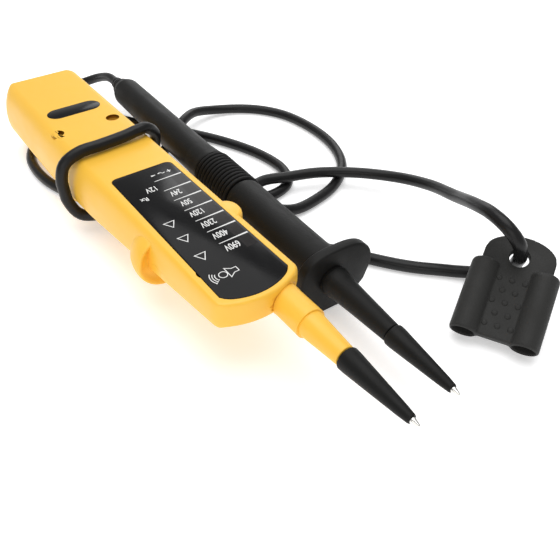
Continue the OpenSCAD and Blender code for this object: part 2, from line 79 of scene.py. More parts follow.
# The test lead, from the loose probe's relief to the display unit's gland
LEAD_D, LEAD_SIDES = 4.6, 16
CARRIED_FROM, CARRIED_OVER = 6.0, 80.0
LEAD_ROUTE = [
    (-127, 26, 13.8), (-137, 26, 13.2), (-148, 24, 9.8), (-157, 18, 5.5), (-161.5, 7, 2.7),
    (-157, -6, 2.3), (-144, -12.5, 2.3), (-126, -17.5, 2.3), (-112, -26, 2.3), (-96, -33, 2.3),
    (-76, -33.5, 2.3), (-57, -28, 2.3), (-31, -14.5, 2.3), (-6, 3, 2.3), (17, 22.5, 2.3),
    (41, 39.5, 2.3), (62, 54, 2.3), (75, 66.5, 2.4), (84.5, 74, 4.8), (90.5, 74.5, 11),
    (92.8, 72.6, 16), (94.8, 69.8, 21.5), (94.4, 67.2, 27.2), (90, 65.8, 31.4), (82, 67.3, 32),
    (72, 71.8, 28.3), (58, 79.5, 21), (40, 86, 14), (24, 85.5, 9.5), (8, 76.5, 7.2),
    (-2.5, 63, 7), (-7.5, 50, 7.1), (-10.8, 40, 7.3), (-8.6, 32.6, 7.3), (-1, 29.8, 7.2),
    (6.2, 33.4, 5.2), (9, 42, 2.8), (8, 54, 2.3), (4, 67, 2.3), (-6, 80, 2.3),
    (-22, 88.5, 2.3), (-43, 91.5, 2.3), (-65, 88, 2.3), (-80.5, 77, 2.3), (-87.5, 62, 3.4),
    (-85.5, 48.5, 6.6), (-81.2, 41.2, 7.4), (-77.8, 36.4, 7), (-73.8, 30.4, 4.2),
    (-66, 20, 2.3), (-54.5, 9.5, 3.4),
    (-47.5, 6.6, 11), (-42, 6.2, 21), (-39.3, 6, 28.6), (-37.5, 1.2, 33.1), (-36.3, -7, 32.8),
    (-35.4, -18, 32.7), (-35, -27.2, 32.6), (-34.9, -33.6, 29.6), (-35.1, -36.2, 22.5),
    (-34.6, -35.9, 14), (-32.6, -32.9, 8), (-27.5, -23.5, 7.5), (-22.5, -14, 7.6),
    (-16, 5, 6.2), (-12.8, 13.5, 2.8), (-10.2, 22, 2.3), (-5.8, 42, 2.3), (-9.5, 51.8, 2.3),
    (-20, 56.8, 2.3), (-36, 56.2, 2.3), (-57, 49.2, 2.3), (-80, 36.6, 2.3), (-100, 23.5, 2.3),
    (-119, 14.5, 2.3), (-135, 13, 4), (-145.5, 6.5, 9), (-145, -4, 14), (-137, -9.8, 16.7),
    (-128, -10, 17)]


# ---------------------------------------------------------------- finishes

def finish_of(name, colour, roughness, grain=0.0, grain_size=900.0, wear=None, wear_amount=0.0,
              metallic=0.0, coat=0.0, mottled=0.0, rough_spread=0.08, specular=0.5, sheen=0.0,
              scratches=0.0):
    """A moulded, rubber or metal finish: mottled colour, uneven gloss, fine grain and worn edges."""
    mat = bpy.data.materials.new(name)
    mat.use_nodes = True
    nodes, links = mat.node_tree.nodes, mat.node_tree.links
    shader = nodes["Principled BSDF"]
    shader.inputs["Metallic"].default_value = metallic
    shader.inputs["Coat Weight"].default_value = coat
    shader.inputs["Coat Roughness"].default_value = 0.18
    shader.inputs["Specular IOR Level"].default_value = specular
    shader.inputs["Sheen Weight"].default_value = sheen
    place = nodes.new("ShaderNodeTexCoord")

    def noise(scale, detail=4.0, stretch=None):
        tex = nodes.new("ShaderNodeTexNoise")
        tex.inputs["Scale"].default_value = scale
        tex.inputs["Detail"].default_value = detail
        if stretch:
            mapping = nodes.new("ShaderNodeMapping")
            mapping.inputs["Scale"].default_value = stretch
            links.new(place.outputs["Object"], mapping.inputs["Vector"])
            links.new(mapping.outputs["Vector"], tex.inputs["Vector"])
        else:
            links.new(place.outputs["Object"], tex.inputs["Vector"])
        return tex

    def mix(a, b, factor):
        node = nodes.new("ShaderNodeMix")
        node.data_type = "RGBA"
        for socket, value in ((node.inputs[0], factor), (node.inputs[6], a), (node.inputs[7], b)):
            if isinstance(value, bpy.types.NodeSocket):
                links.new(value, socket)
            else:
                socket.default_value = value
        return node.outputs[2]

    def ranged(value, low, high, to_low, to_high):
        node = nodes.new("ShaderNodeMapRange")
        for key, number in (("From Min", low), ("From Max", high), ("To Min", to_low), ("To Max", to_high)):
            node.inputs[key].default_value = number
        links.new(value, node.inputs["Value"])
        return node.outputs["Result"]

    colour = (*colour, 1.0)
    blotch = noise(38.0, 3.0)
    deep = tuple(c * (1 - 0.5 * mottled) for c in colour[:3]) + (1.0,)
    out = mix(deep, colour, ranged(blotch.outputs["Fac"], 0.3, 0.7, 1 - mottled, 1.0))
    if wear:
        edges = nodes.new("ShaderNodeNewGeometry")
        rough_edge = noise(420.0, 6.0)
        worn = ranged(edges.outputs["Pointiness"], 0.53, 0.62, 0.0, wear_amount)
        gate = nodes.new("ShaderNodeMath")
        gate.operation = "MULTIPLY"
        links.new(worn, gate.inputs[0])
        links.new(ranged(rough_edge.outputs["Fac"], 0.4, 0.65, 0.0, 1.0), gate.inputs[1])
        out = mix(out, (*wear, 1.0), gate.outputs[0])
    links.new(out, shader.inputs["Base Color"])
    gloss = noise(75.0, 5.0, (1.0, 2.2, 1.6))
    links.new(ranged(gloss.outputs["Fac"], 0.3, 0.7, roughness - rough_spread, roughness + rough_spread),
              shader.inputs["Roughness"])
    if grain or scratches:
        fine = noise(grain_size, 2.0)
        height = fine.outputs["Fac"]
        if scratches:
            lines = noise(220.0, 3.0, (0.25, 6.0, 3.0))
            both = nodes.new("ShaderNodeMath")
            both.operation = "MULTIPLY_ADD"
            both.inputs[1].default_value = scratches
            links.new(lines.outputs["Fac"], both.inputs[0])
            links.new(fine.outputs["Fac"], both.inputs[2])
            height = both.outputs[0]
        bump = nodes.new("ShaderNodeBump")
        bump.inputs["Strength"].default_value = grain or 0.1
        bump.inputs["Distance"].default_value = 0.0002
        links.new(height, bump.inputs["Height"])
        links.new(bump.outputs["Normal"], shader.inputs["Normal"])
    return mat


yellow_plastic = finish_of("yellow_plastic", (0.95, 0.54, 0.05), 0.42, 0.10, 1500.0,
                           (1.0, 0.66, 0.20), 0.35, mottled=0.10, coat=0.06)
black_plastic = finish_of("black_plastic", (0.0095, 0.0095, 0.0092), 0.46, 0.22, 1700.0,
                          (0.022, 0.022, 0.022), 0.6, mottled=0.25, specular=0.14)
ribbed_rubber = finish_of("ribbed_rubber", (0.008, 0.008, 0.008), 0.52, 0.25, 1300.0,
                          (0.02, 0.02, 0.02), 0.5, mottled=0.3, specular=0.16)
cover_rubber = finish_of("cover_rubber", (0.024, 0.024, 0.023), 0.62, 0.42, 1500.0,
                         (0.06, 0.06, 0.057), 0.5, mottled=0.3, specular=0.25, sheen=0.03)
lead_vinyl = finish_of("lead_vinyl", (0.0085, 0.0085, 0.0088), 0.34, 0.14, 900.0,
                       mottled=0.2, specular=0.25)
label_film = finish_of("label_film", (0.0055, 0.0055, 0.006), 0.17, 0.04, 700.0,
                       mottled=0.2, coat=0.04, specular=0.12, rough_spread=0.05, scratches=0.6)
smoked_window = finish_of("smoked_window", (0.014, 0.012, 0.012), 0.15, 0.03, 700.0,
                          mottled=0.3, coat=0.06, specular=0.15, rough_spread=0.04)
white_print = finish_of("white_print", (0.78, 0.78, 0.77), 0.40, 0.05, 1500.0, mottled=0.12)
bright_nickel = finish_of("bright_nickel", (0.80, 0.79, 0.76), 0.20, 0.10, 1200.0,
                          metallic=1.0, mottled=0.1, rough_spread=0.07, scratches=1.0)
spring_steel = finish_of("spring_steel", (0.60, 0.60, 0.61), 0.33, 0.15, 1200.0,
                         metallic=1.0, mottled=0.15, scratches=1.5)
cell_foil = finish_of("cell_foil", (0.55, 0.34, 0.10), 0.30, 0.08, 900.0, metallic=0.85, mottled=0.15)
solder_mask = finish_of("solder_mask", (0.015, 0.14, 0.035), 0.38, 0.20, 500.0, mottled=0.3, coat=0.2)
chip_epoxy = finish_of("chip_epoxy", (0.018, 0.018, 0.018), 0.55, 0.35, 2500.0, mottled=0.2)
clear_epoxy = finish_of("clear_epoxy", (0.78, 0.74, 0.62), 0.18, 0.05, 900.0, mottled=0.1, coat=0.3)
red_lens = finish_of("red_lens", (0.14, 0.012, 0.012), 0.20, 0.05, 900.0, mottled=0.2, coat=0.3)
lacquer = finish_of("lacquer", (0.30, 0.15, 0.07), 0.30, 0.10, 900.0, mottled=0.25, coat=0.2)


# ---------------------------------------------------------------- making meshes

def piece(name, verts, faces, mat, body, slot, smooth_angle=32.0, stands_for=()):
    """A mesh from points in millimetres, riding on a body and standing for its CAD nodes."""
    mesh = bpy.data.meshes.new(name)
    mesh.from_pydata([tuple(c * MM for c in v) for v in verts], [], faces)
    mesh.validate()
    obj = bpy.data.objects.new(name, mesh)
    bpy.context.scene.collection.objects.link(obj)
    close_up(mesh)
    return dressed(obj, mat, body, smooth_angle, stands_for)


def close_up(mesh, merge=1e-6):
    """Merges points that meet and turns all faces outward."""
    work = bmesh.new()
    work.from_mesh(mesh)
    bmesh.ops.remove_doubles(work, verts=work.verts, dist=merge)
    bmesh.ops.recalc_face_normals(work, faces=work.faces)
    work.to_mesh(mesh)
    work.free()


def dressed(obj, mat, body, smooth_angle=32.0, stands_for=()):
    """Gives a mesh its finish, its body and the CAD nodes it stands for."""
    obj.data.materials.clear()
    obj.data.materials.append(mat)
    shade(obj, smooth_angle)
    if body:
        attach(obj, body)
    if stands_for:
        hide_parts(*stands_for)
    return obj


def shade(obj, angle):
    obj.data.shade_smooth()
    obj.data.set_sharp_from_angle(angle=math.radians(angle))


def loose(name, verts, faces):
    """A working solid that isn't a piece yet."""
    mesh = bpy.data.meshes.new(name)
    mesh.from_pydata([tuple(c * MM for c in v) for v in verts], [], faces)
    obj = bpy.data.objects.new(name, mesh)
    bpy.context.scene.collection.objects.link(obj)
    close_up(mesh)
    return obj


def rings_to_mesh(rings, capped=True):
    """Joins closed rings of equal length into one skin with its ends closed."""
    sides = len(rings[0])
    verts = [p for ring in rings for p in ring]
    faces = []
    for i in range(len(rings) - 1):
        for k in range(sides):
            a, b = i * sides + k, i * sides + (k + 1) % sides
            faces.append((a, b, b + sides, a + sides))
    if capped:
        faces.append(tuple(range(sides))[::-1])
        faces.append(tuple((len(rings) - 1) * sides + k for k in range(sides)))
    return verts, faces


def spun(profile, at=(0, 0, 0), sides=64, bore=0.0):
    """A turned solid about X from (x, radius) points; with a bore it is a sleeve."""
    loop = list(profile)
    if bore:
        loop += [(profile[-1][0], bore), (profile[0][0], bore)]
    rings = []
    for x, r in loop:
        rings.append([(at[0] + x, at[1] + r * math.cos(2 * math.pi * k / sides),
                       at[2] + r * math.sin(2 * math.pi * k / sides)) for k in range(sides)])
    if bore:
        rings.append(rings[0])
        return rings_to_mesh(rings, capped=False)
    return rings_to_mesh(rings)


def rounded(profile, radius=0.4, steps=4):
    """Rounds the corners of a turned profile."""
    out = [profile[0]]
    for i in range(1, len(profile) - 1):
        a, b, c = (Vector(profile[i - 1]), Vector(profile[i]), Vector(profile[i + 1]))
        reach = min(radius, (a - b).length * 0.45, (c - b).length * 0.45)
        if (a - b).length < 1e-6 or (c - b).length < 1e-6 or reach < 0.02:
            out.append(profile[i])
            continue
        p, q = b + (a - b).normalized() * reach, b + (c - b).normalized() * reach
        for k in range(steps + 1):
            t = k / steps
            out.append(tuple(p * (1 - t) ** 2 + b * 2 * t * (1 - t) + q * t ** 2))
    out.append(profile[-1])
    return out


def block(x0, x1, y0, y1, z0, z1):
    v = [(x, y, z) for x in (x0, x1) for y in (y0, y1) for z in (z0, z1)]
    f = [(0, 1, 3, 2), (4, 6, 7, 5), (0, 4, 5, 1), (2, 3, 7, 6), (0, 2, 6, 4), (1, 5, 7, 3)]
    return v, f


def prism(outline, z0, z1):
    n = len(outline)
    v = [(x, y, z0) for x, y in outline] + [(x, y, z1) for x, y in outline]
    f = [tuple(range(n))[::-1], tuple(range(n, 2 * n))]
    f += [(k, (k + 1) % n, (k + 1) % n + n, k + n) for k in range(n)]
    return v, f


def carve(obj, tool, operation="DIFFERENCE"):
    """Cuts an object with a working solid, which is used up."""
    cut = obj.modifiers.new("cut", "BOOLEAN")
    cut.operation, cut.solver, cut.object = operation, "EXACT", tool
    bake(obj)
    bpy.data.objects.remove(tool)


def bake(obj):
    """Turns an object and its modifiers into a plain mesh."""
    bpy.context.view_layer.update()
    made = bpy.data.meshes.new_from_object(obj.evaluated_get(bpy.context.evaluated_depsgraph_get()))
    obj.modifiers.clear()
    obj.data = made
    return obj


def softened(obj, width, segments, angle):
    """Rounds the edges that turn by more than an angle."""
    edge = obj.modifiers.new("edge", "BEVEL")
    edge.width, edge.segments, edge.limit_method = width * MM, segments, "ANGLE"
    edge.angle_limit, edge.harden_normals = math.radians(angle), False
    return bake(obj)


def copy_of(obj, name):
    twin = obj.copy()
    twin.data = obj.data.copy()
    twin.name = name
    bpy.context.scene.collection.objects.link(twin)
    return twin


def standing(obj, x, y=0.0):
    """Turns a solid that was spun about X so that its axis stands at (x, y) and points down."""
    obj.data.transform(Matrix.Translation((x * MM, y * MM, 0)) @ Matrix.Rotation(math.radians(90), 4, "Y"))
    return obj


# ---------------------------------------------------------------- camera

def camera_at(place, azimuth, elevation, roll):
    az, el, ro = (math.radians(a) for a in (azimuth, elevation, roll))
    back = Vector((math.sin(az) * math.cos(el), -math.cos(az) * math.cos(el), math.sin(el)))
    right = (-back).cross(Vector((0, 0, 1))).normalized()
    up = right.cross(-back)
    r, u = math.cos(ro) * right + math.sin(ro) * up, -math.sin(ro) * right + math.cos(ro) * up
    lens = bpy.data.cameras.new("camera")
    lens.lens, lens.sensor_width, lens.sensor_fit = 38.87, 36.0, "HORIZONTAL"
    lens.shift_x, lens.shift_y = 0.0029, -0.0026
    lens.clip_start, lens.clip_end = 0.005, 20.0
    cam = bpy.data.objects.new("camera", lens)
    turn = Matrix((r, u, back)).transposed()
    cam.matrix_world = Matrix.Translation(Vector(place)) @ turn.to_4x4()
    bpy.context.scene.collection.objects.link(cam)
    bpy.context.scene.camera = cam


camera_at((0.1735, -0.0828, 0.1478), 54.8, 41.61, -0.65)


# ---------------------------------------------------------------- the test lead

def smooth_route(points, spacing=1.6):
    """One smooth curve through the route's points, as evenly spaced points."""
    pts = [Vector(p) for p in points]
    pts = [pts[0] * 2 - pts[1]] + pts + [pts[-1] * 2 - pts[-2]]
    out = []
    for i in range(1, len(pts) - 2):
        p0, p1, p2, p3 = pts[i - 1:i + 3]
        steps = max(2, round((p2 - p1).length / spacing))
        k0, k1, k2 = ((p1 - p0).length ** 0.5, (p2 - p1).length ** 0.5, (p3 - p2).length ** 0.5)
        m1 = (p2 - p1) + k1 * ((p1 - p0) / k0 - (p2 - p0) / (k0 + k1))
        m2 = (p2 - p1) + k1 * ((p3 - p2) / k2 - (p3 - p1) / (k1 + k2))
        for s in range(steps):
            t = s / steps
            out.append(p1 * (2 * t ** 3 - 3 * t ** 2 + 1) + m1 * (t ** 3 - 2 * t ** 2 + t)
                       + p2 * (3 * t ** 2 - 2 * t ** 3) + m2 * (t ** 3 - t ** 2))
    return out + [pts[-2]]


def swept(path, radius, sides):
    """A round cord along a path, without twist."""
    side = Vector((0, 0, 1))
    rings = []
    for i, p in enumerate(path):
        along = (path[min(i + 1, len(path) - 1)] - path[max(i - 1, 0)]).normalized()
        side = (side - side.dot(along) * along).normalized()
        other = along.cross(side)
        rings.append([p + radius * (math.cos(2 * math.pi * k / sides) * side
                                    + math.sin(2 * math.pi * k / sides) * other)
                      for k in range(sides)])
    return rings_to_mesh(rings)


lead_path = smooth_route(LEAD_ROUTE)
low, high = [[pick(p[k] for p in LEAD_ROUTE) for k in range(3)] for pick in (min, max)]
for point in lead_path:  # the smooth curve stays within the route's own reach
    for k in range(3):
        point[k] = min(max(point[k], low[k]), high[k])
lead = piece("test_lead_jacket", *swept(lead_path, LEAD_D / 2, LEAD_SIDES), lead_vinyl, None, "lead_jacket",
             stands_for=["test_lead"])
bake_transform(lead)
# Weights for the first stretch by the loose probe's strain relief, easing out along the lead; nothing here
# applies them.
carried, run = [], 0.0
for i, point in enumerate(lead_path):
    run += (point - lead_path[max(i - 1, 0)]).length
    t = min(1.0, max(0.0, 1.0 - (run - CARRIED_FROM) / CARRIED_OVER))
    carried += [t * t * (3 - 2 * t)] * LEAD_SIDES


# ---------------------------------------------------------------- the display unit's housing

def rise(x):
    """How far the underside climbs towards the front."""
    t = max(0.0, (x - STEP_X) / (FRONT_X - STEP_X))
    return FRONT_RISE * t ** 1.6


def floor_at(x):
    t = min(1.0, max(0.0, (x - STEP_X + 2.0) / 4.0))
    return 5.3 + STEP_RISE * t * t * (3 - 2 * t) + rise(x)


def between(x, table):
    """Reads a table of (x, value) points."""
    for (x0, y0), (x1, y1) in zip(table, table[1:]):
        if x <= x1:
            return y0 + (y1 - y0) * max(0.0, x - x0) / (x1 - x0)
    return table[-1][1]


def round_in(distance, radius):
    """How far a rounded edge lies in, at a distance from the end face."""
    d = min(max(distance, 0.0), radius)
    return radius - math.sqrt(max(0.0, radius * radius - (radius - d) ** 2))


def bow_at(y):
    """How far the curved front stands forward of its corners."""
    t = (y - BOW_MIDDLE_Y) / BOW_HALF
    return FRONT_BOW * (1 - min(1.0, t * t))


def body_ring(x, g=0.0):
    """One section of the body, inset by g: a deep round on the left, small ones on the right."""
    rear, front = x - REAR_X - g, FRONT_X - g - x
    left = between(x, [(-121, -34.2), (-60, -34.1), (-21, -32.9), (19, -30.2), (65, -28.0)]) + g
    left += round_in(rear, 8.0 - g) + round_in(front, 2.6)
    right = RIGHT_Y - g - round_in(rear, 6.0 - g) - round_in(front, 2.6)
    top = TOP_Z - g - round_in(rear, 2.6) - round_in(front, 1.0)
    low = floor_at(x) + g + round_in(rear, 1.0) + round_in(front, 2.0)
    mid = 15.0 + 0.9 * rise(x)
    shoulder = max(SHOULDER_Y + g * 0.3, left + 1.2)
    r_top, r_low = max(2.2 - g, 0.5), max(5.0 - g, 2.0)
    pts = []

    def arc(cy, cz, ry, rz, a0, a1, n):
        for k in range(n):
            a = math.radians(a0 + (a1 - a0) * k / n)
            pts.append((cy + ry * math.cos(a), cz + rz * math.sin(a)))

    def line(p, q, n):
        for k in range(n):
            pts.append((p[0] + (q[0] - p[0]) * k / n, p[1] + (q[1] - p[1]) * k / n))

    arc(shoulder, mid, left - shoulder, top - mid, 90, 0, 22)
    arc(shoulder, mid, left - shoulder, mid - low, 0, -90, 16)
    line((shoulder, low), (right - r_low, low), 12)
    arc(right - r_low, low + r_low, r_low, r_low, -90, 0, 8)
    line((right, low + r_low), (right, top - r_top), 4)
    arc(right - r_top, top - r_top, r_top, r_top, 0, 90, 8)
    line((right - r_top, top), (shoulder, top), 14)
    bow_share = min(1.0, max(0.0, (x - 36.0) / 29.0))
    bow_share = bow_share * bow_share * (3 - 2 * bow_share)
    return [(x + bow_at(y) * bow_share, y, z) for y, z in pts]


def body_solid(name, g=0.0):
    """The whole body, or its hollow when inset by the wall."""
    fine = [0, 0.1, 0.3, 0.6, 1.0, 1.5, 2.1, 2.8, 3.7, 4.8, 6.2, 8.0]
    rear = [REAR_X + g + d for d in fine]
    front = [FRONT_X - g - d for d in (2.6, 2.0, 1.5, 1.0, 0.6, 0.3, 0.12, 0.03, 0.0)]
    xs = rear + [-110 + 4 * k for k in range(17)] + [-43.5, -42.5, -41.5, -40.5, -39.5, -38.5, -37.5]
    xs += [-34 + 4 * k for k in range(24)] + front
    rings = [body_ring(x, g) for x in xs]

    def closing(ring, flat):
        cy = sum(p[1] for p in ring) / len(ring)
        cz = sum(p[2] for p in ring) / len(ring)
        out = []
        for s in (0.86, 0.6, 0.3, 0.05):
            shrunk = []
            for x, y, z in ring:
                ny, nz = cy + (y - cy) * s, cz + (z - cz) * s
                shrunk.append((x if flat else FRONT_X - g + bow_at(ny), ny, nz))
            out.append(shrunk)
        return out

    rings = closing(rings[0], True)[::-1] + rings + closing(rings[-1], False)
    return loose(name, *rings_to_mesh(rings))


outer = body_solid("outer")
inner = body_solid("inner", WALL)


def label_outline(g=0.0):
    half, back, front, corner = 12.0 + g, -13.6 - g, 63.1 + g, 2.5
    pts = []
    n = 24
    for k in range(n + 1):
        t = 1 - 2 * k / n
        pts.append((front + 3.9 * (1 - t * t) - 1.3 * abs(t) ** 10, LABEL_Y + t * half))
    for cy, a0, a1 in ((LABEL_Y - half + corner, 270, 180), (LABEL_Y + half - corner, 180, 90)):
        for k in range(7):
            a = math.radians(a0 + (a1 - a0) * k / 6)
            pts.append((back + corner + corner * math.cos(a), cy + corner * math.sin(a)))
    return pts[::-1]


def badge_outline(g=0.0):
    r, reach = 4.5 + g, 7.0
    pts = []
    for cy, a0 in ((BADGE_Y + reach, 0), (BADGE_Y - reach, 180)):
        for k in range(17):
            a = math.radians(a0 + 180 * k / 16)
            pts.append((BADGE_X + r * math.cos(a), cy + r * math.sin(a)))
    return pts


shell = copy_of(outer, "shell")
carve(shell, inner)
carve(shell, loose("label_bed", *prism(label_outline(0.12), TOP_Z - 0.8, TOP_Z + 3)))
for i in range(STEPS):
    x = FIRST_LINE + (i + 0.5) * STEP_PITCH
    carve(shell, loose("window", *block(x - 2.1, x + 2.1, -6.8, -2.6, TOP_Z - 5, TOP_Z - 0.4)))
for x, y in SCREWS:
    foot = -floor_at(x) - 1
    post = [(-TOP_Z, 0.01), (-TOP_Z, 2.8), (foot, 2.8), (foot, 0.01)]
    boss = standing(loose("boss", *spun(post, sides=32)), x, y)
    carve(boss, copy_of(outer, "o"), "INTERSECT")
    carve(shell, boss, "UNION")
carve(shell, loose("badge_bed", *prism(badge_outline(0.1), TOP_Z - 0.5, TOP_Z + 3)))
carve(shell, loose("nose_way", *spun([(58.2, 5.1), (80, 5.1)], (0, NOSE_Y, NOSE_Z))))
carve(shell, loose("gland_way", *spun([(-123, 3.1), (-118, 3.1)], (0, GLAND_Y, GLAND_Z))))

top_shell = copy_of(shell, "housing_top")
carve(top_shell, loose("above", *block(-130, 80, -50, 20, SPLIT_Z + 0.02, 40)), "INTERSECT")
bottom_shell = shell
bottom_shell.name = "housing_bottom"
carve(bottom_shell, loose("below", *block(-130, 80, -50, 20, 0, SPLIT_Z - 0.02)), "INTERSECT")
carve(bottom_shell, loose("door_way", *block(-123, DOOR_X, DOOR_Y - 11.8, DOOR_Y + 11.8, 4, 8.4)))
carve(bottom_shell, loose("door_lip", *block(-123, DOOR_X, DOOR_Y - 13, DOOR_Y + 13, 6.4, 8.4)))
for x, y in SCREWS:
    way = [(-floor_at(x) - 1.6, 2.25), (0, 2.25)]
    carve(bottom_shell, standing(loose("sink", *spun(way, sides=32)), x, y))
for obj in (top_shell, bottom_shell):
    close_up(obj.data, 2e-6)
dressed(top_shell, yellow_plastic, "housing", 30, ["top_shell"])
dressed(bottom_shell, yellow_plastic, "housing", 30, ["bottom_shell"])


# ---------------------------------------------------------------- the finger guard

def guard_lobe():
    """The half-disc flange on the left: it grows out of the side and has a hollowed front face."""
    cy, cz, ry, rz = -24.9, 19.2, 9.4, 9.7
    shape = [(12.4, 0.40), (14.4, 0.66), (16.4, 0.82), (18.4, 0.92), (20.4, 0.975), (22.4, 1.0),
             (24.1, 1.0), (25.2, 0.985), (25.8, 0.955), (25.9, 0.915), (25.8, 0.87), (25.4, 0.81),
             (24.8, 0.72), (24.4, 0.6), (24.2, 0.4), (24.2, 0.1)]
    rings = []
    for x, s in shape:
        rings.append([(x, cy + ry * s * math.cos(2 * math.pi * k / 72),
                       cz + rz * s * math.sin(2 * math.pi * k / 72)) for k in range(72)])
    return loose("lobe", *rings_to_mesh(rings))


def guard_nub():
    """The small rounded stop on the right, level with the flat top."""
    rings = []
    for z, s in ((11.5, 0.5), (12.2, 0.8), (13.5, 0.97), (16, 1.0), (28.4, 1.0), (29.2, 0.97),
                 (29.75, 0.88), (29.97, 0.76)):
        rings.append([(25.9 + 5.6 * s * math.cos(2 * math.pi * k / 48),
                       1.2 + 3.9 * s * math.sin(2 * math.pi * k / 48), z) for k in range(48)])
    return loose("nub", *rings_to_mesh(rings))


finger_guard = guard_lobe()
carve(finger_guard, guard_nub(), "UNION")
carve(finger_guard, outer)
close_up(finger_guard.data, 2e-6)
finger_guard.name = "finger_guard_lobes"
dressed(finger_guard, yellow_plastic, "housing", 40, ["finger_guard"])


# ---------------------------------------------------------------- label, windows and print

label = loose("front_label_plate", *prism(label_outline(), TOP_Z - 0.78, TOP_Z + 0.12))
softened(label, 0.22, 2, 60)
dressed(label, label_film, "housing", 40, ["front_label"])
badge = loose("badge_pill", *prism(badge_outline(), TOP_Z - 0.48, TOP_Z + 0.15))
softened(badge, 0.2, 2, 60)
dressed(badge, label_film, "housing", 40, ["badge_plate"])


def strip(points, width, closed=False):
    """A flat printed stroke of even width along points in the label's plane."""
    n = len(points)
    left, right = [], []
    for i, p in enumerate(points):
        a = points[i - 1] if (i or closed) else p
        b = points[(i + 1) % n] if (i < n - 1 or closed) else p
        u = Vector((p[0] - a[0], p[1] - a[1]))
        v = Vector((b[0] - p[0], b[1] - p[1]))
        u, v = (u or v).normalized(), (v or u).normalized()
        t = (u + v).normalized() if (u + v).length > 1e-6 else u
        s = width / 2 / max(0.35, t.dot(v))
        left.append((p[0] - t.y * s, p[1] + t.x * s))
        right.append((p[0] + t.y * s, p[1] - t.x * s))
    verts = [(x, y, z) for x, y in left + right for z in INK]
    faces = []
    count = n if closed else n - 1
    for i in range(count):
        j = (i + 1) % n
        l0, l1, r0, r1 = 2 * i, 2 * j, 2 * (n + i), 2 * (n + j)
        faces += [(l0 + 1, l1 + 1, r1 + 1, r0 + 1), (l0, r0, r1, l1),
                  (l0, l1, l1 + 1, l0 + 1), (r0, r0 + 1, r1 + 1, r1)]
    if not closed:
        for i in (0, n - 1):
            faces.append((2 * i, 2 * i + 1, 2 * (n + i) + 1, 2 * (n + i)))
    return verts, faces


def gathered(parts):
    """Many small (verts, faces) pairs as one."""
    verts, faces = [], []
    for v, f in parts:
        base = len(verts)
        verts += v
        faces += [tuple(i + base for i in face) for face in f]
    return verts, faces


def words(text, x, y, size, squeeze):
    """Figures on the label, read from its left side, as verts and faces in millimetres."""
    font = bpy.data.curves.new("figures", "FONT")
    font.body, font.size, font.extrude = text, 1.0, 0.0
    font.align_x, font.align_y, font.offset = "CENTER", "CENTER", 0.012
    obj = bpy.data.objects.new("figures", font)
    bpy.context.scene.collection.objects.link(obj)
    bpy.context.view_layer.update()
    mesh = bpy.data.meshes.new_from_object(obj.evaluated_get(bpy.context.evaluated_depsgraph_get()))
    bpy.data.objects.remove(obj)
    work = bmesh.new()
    work.from_mesh(mesh)
    bmesh.ops.remove_doubles(work, verts=work.verts, dist=1e-5)
    made = bmesh.ops.extrude_face_region(work, geom=work.faces[:])
    lifted = [g for g in made["geom"] if isinstance(g, bmesh.types.BMVert)]
    bmesh.ops.translate(work, vec=(0, 0, 1), verts=lifted)
    low_ink, thick = INK[0], 0.04
    verts = [(x + v.co.y * size, y - v.co.x * size * squeeze, low_ink + thick * v.co.z) for v in work.verts]
    work.verts.index_update()
    faces = [tuple(v.index for v in f.verts) for f in work.faces]
    work.free()
    return verts, faces


def circle(cx, cy, r, a0=0.0, a1=360.0, n=28):
    count = n if abs(a1 - a0) >= 359.9 else n + 1
    return [(cx + r * math.cos(math.radians(a0 + (a1 - a0) * k / n)),
             cy + r * math.sin(math.radians(a0 + (a1 - a0) * k / n))) for k in range(count)]


ink = []
for i in range(STEPS):
    x = FIRST_LINE + STEP_PITCH * i
    ink.append(strip([(x, -11.9), (x, -1.2)], 0.24))
for i, text in enumerate(("24V", "50V", "120V", "230V", "400V", "690V")):
    ink.append(words(text, FIRST_LINE + STEP_PITCH * (i + 1) + 3.1, -9.0, 4.3, 0.6))
ink.append(words("12V", 0.4, -15.0, 4.3, 0.66))
ink.append(words("Rx", 4.8, -19.8, 3.2, 0.8))
sign_x = -7.4
ink.append(words("+", sign_x, -4.2, 4.0, 0.8))
ink.append(strip([(sign_x, -9.6), (sign_x, -11.2)], 0.3))
wave = [(sign_x + 0.5 * math.sin(k / 8 * 2 * math.pi), -5.9 - 0.3 * k) for k in range(9)]
ink.append(strip(wave, 0.3))
for x in (23.0, 32.4, 43.2):
    ink.append(strip([(x - 1.6, -21.2), (x - 1.6, -17.4), (x + 1.8, -19.3)], 0.3, closed=True))
horn = [(53.2, -13.6), (53.2, -15.2), (51.9, -17.0), (56.5, -17.0), (55.2, -15.2), (55.2, -13.6)]
ink.append(strip(horn, 0.28, closed=True))
ink.append(strip(circle(54.2, -18.6, 1.35), 0.28, closed=True))
for r in (2.3, 3.1, 3.9):
    ink.append(strip(circle(54.2, -18.9, r, 232, 308, 14), 0.28))
piece("label_print", *gathered(ink), white_print, "housing", "label")
panes = [block(FIRST_LINE + (i + 0.5) * STEP_PITCH - 2.9, FIRST_LINE + (i + 0.5) * STEP_PITCH + 2.9,
               -5.6, -1.5, PRINT_Z - 0.01, PRINT_Z + 0.012) for i in range(STEPS)]
piece("label_windows", *gathered(panes), smoked_window, "housing", "label")


# ---------------------------------------------------------------- the fixed probe

nose = rounded([(58.2, 0.01), (58.2, 5.0), (64.0, 5.0), (65.5, 5.3), (68.5, 5.2), (71.5, 4.9),
                (80.0, 4.5), (88.0, 3.85), (CAP_X - 0.1, 3.3), (CAP_X - 0.1, 2.2), (CAP_X + 6, 2.2),
                (CAP_X + 6, PIN_BORE)], 0.6)
piece("fixed_shaft", *spun(nose[1:], (0, NOSE_Y, NOSE_Z), 72, PIN_BORE), yellow_plastic, "housing",
      "yellow_shell", stands_for=["nose_tube"])


